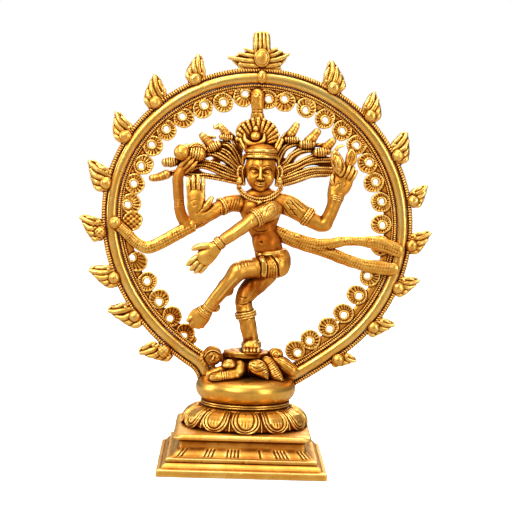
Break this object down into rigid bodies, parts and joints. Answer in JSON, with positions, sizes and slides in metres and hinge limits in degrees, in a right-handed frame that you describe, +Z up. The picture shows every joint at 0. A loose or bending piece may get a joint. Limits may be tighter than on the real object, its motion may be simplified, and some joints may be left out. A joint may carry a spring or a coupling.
{
  "type": "brass nataraja statue",
  "caption": "Cast brass four-armed dancer on a dwarf, round seat, lotus tier and stepped plinth, framed by a round halo with pierced rosettes and flames.",
  "frame": {"origin": "middle of the flat underside of the plinth", "axes": "+Z up, front of the figure faces -Y, +X to the viewer's right"},
  "size_m": [0.1636, 0.077, 0.2017],
  "materials": {
    "polished_brass": "polished, satin to bright",
    "figure_brass": "polished on raised surfaces, dark reddish-brown patina in recesses",
    "antique_brass": "antique, with a reddish-brown patina and rubbed edges",
    "base_brass": "brushed, patina in recesses",
    "fixing_brass": "plain machined"
  },
  "bodies": {
    "root": {"anklets": "figure_brass", "arm_front_left": "figure_brass", "arm_front_right": "figure_brass", "arm_rear_left": "figure_brass", "arm_rear_right": "figure_brass", "armlets": "figure_brass", "bracelets": "figure_brass", "collar_ring": "polished_brass", "crest_bead": "polished_brass", "crown_finial": "figure_brass", "diadem": "figure_brass", "drum_seat": "polished_brass", "dwarf_arms": "figure_brass", "dwarf_body": "figure_brass", "dwarf_head": "figure_brass", "dwarf_legs": "figure_brass", "earrings": "figure_brass", "fixing_nut": "fixing_brass", "fixing_stud": "fixing_brass", "fixing_washer": "fixing_brass", "flame_crest": "antique_brass", "flame_left_1": "antique_brass", "flame_left_2": "antique_brass", "flame_left_3": "antique_brass", "flame_left_4": "antique_brass", "flame_left_5": "antique_brass", "flame_left_6": "antique_brass", "flame_left_7": "antique_brass", "flame_left_8": "antique_brass", "flame_right_1": "antique_brass", "flame_right_2": "antique_brass", "flame_right_3": "antique_brass", "flame_right_4": "antique_brass", "flame_right_5": "antique_brass", "flame_right_6": "antique_brass", "flame_right_7": "antique_brass", "flame_right_8": "antique_brass", "hair_left": "figure_brass", "hair_right": "figure_brass", "halo_inner_rope": "antique_brass", "halo_outer_cord": "antique_brass", "halo_rim": "polished_brass", "hand_drum": "figure_brass", "hand_flame": "figure_brass", "head": "figure_brass", "headdress_fan": "figure_brass", "hips": "figure_brass", "leg_raised": "figure_brass", "leg_standing": "figure_brass", "lotus_tier": "base_brass", "necklace": "figure_brass", "plinth": "base_brass", "rosettes_left": "antique_brass", "rosettes_right": "antique_brass", "sash_left": "figure_brass", "sash_right": "figure_brass", "torso": "figure_brass", "waist_belt": "figure_brass"}
  },
  "joints": []
}
